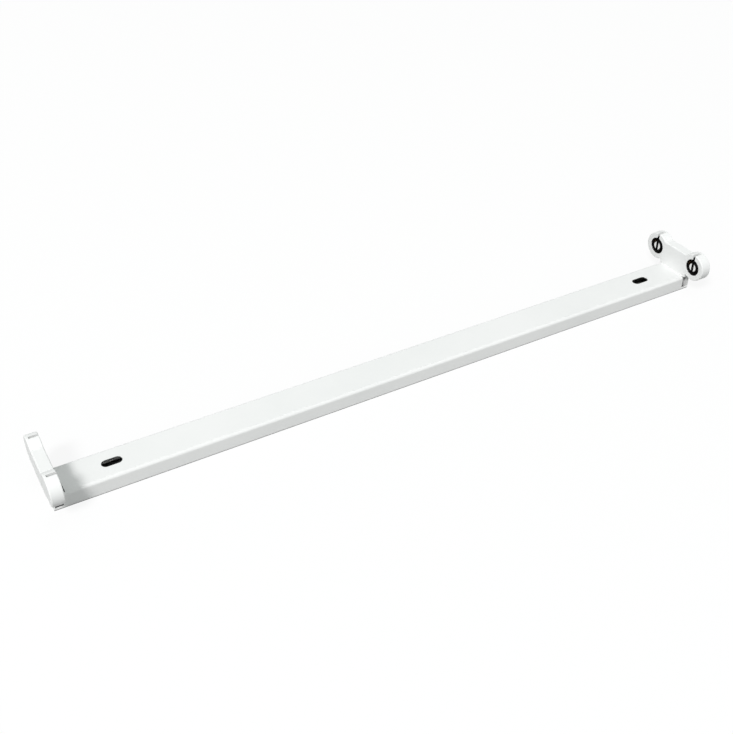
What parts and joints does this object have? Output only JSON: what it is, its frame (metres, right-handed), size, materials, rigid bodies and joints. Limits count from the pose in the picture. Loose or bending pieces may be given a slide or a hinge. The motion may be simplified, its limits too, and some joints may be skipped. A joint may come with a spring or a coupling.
{
  "type": "tube lamp bracket",
  "caption": "Open bracket for tube lamps: a slim folded channel fixed through slotted holes, with a rotary-lock lampholder standing at each end and the wiring inside.",
  "frame": {"origin": "centre of the mounting plane under the channel", "axes": "+X along the bracket to the right holder, -Y to the near long side, +Z away from the ceiling towards the lamps"},
  "size_m": [0.6106, 0.0726, 0.0403],
  "materials": {
    "white_enamel": "satin",
    "white_plastic": "semi-gloss",
    "rotor_plastic": "semi-gloss",
    "black_plastic": "matte",
    "spring_bronze": "satin",
    "white_insulation": "matte",
    "earth_insulation": "matte",
    "bare_copper": "satin",
    "block_plastic": "matte",
    "terminal_brass": "satin",
    "screw_steel": "bright",
    "tinned_brass": "satin",
    "clip_plastic": "matte"
  },
  "bodies": {
    "frame": {"channel_top": "white_enamel", "channel_front": "white_enamel", "channel_rear": "white_enamel", "holder_left": "white_plastic", "holder_right": "white_plastic", "cover_left": "white_plastic", "cover_right": "white_plastic", "seat_left_front": "black_plastic", "seat_left_rear": "black_plastic", "seat_right_front": "black_plastic", "seat_right_rear": "black_plastic", "contact_left": "spring_bronze", "contact_right": "spring_bronze", "wire_left": "white_insulation", "wire_right": "white_insulation", "wire_earth": "earth_insulation", "wire_ends": "bare_copper", "terminal_block": "block_plastic", "terminal_tubes": "terminal_brass", "terminal_screws": "screw_steel", "earth_receptacle": "tinned_brass", "wire_clips": "clip_plastic"},
    "rotor_left_front": {"rotor_left_front": "rotor_plastic"},
    "rotor_left_rear": {"rotor_left_rear": "rotor_plastic"},
    "rotor_right_front": {"rotor_right_front": "rotor_plastic"},
    "rotor_right_rear": {"rotor_right_rear": "rotor_plastic"}
  },
  "joints": [
    {"name": "turn_left_front", "type": "hinge", "parent": "frame", "child": "rotor_left_front", "pos_m": [-0.2995, -0.02365, 0.0276], "axis": [1, 0, 0], "range_deg": [-90, 90]},
    {"name": "turn_left_rear", "type": "hinge", "parent": "frame", "child": "rotor_left_rear", "pos_m": [-0.2995, 0.02365, 0.0276], "axis": [1, 0, 0], "range_deg": [-90, 90]},
    {"name": "turn_right_front", "type": "hinge", "parent": "frame", "child": "rotor_right_front", "pos_m": [0.2995, -0.02365, 0.0276], "axis": [1, 0, 0], "range_deg": [-90, 90]},
    {"name": "turn_right_rear", "type": "hinge", "parent": "frame", "child": "rotor_right_rear", "pos_m": [0.2995, 0.02365, 0.0276], "axis": [1, 0, 0], "range_deg": [-90, 90]}
  ]
}
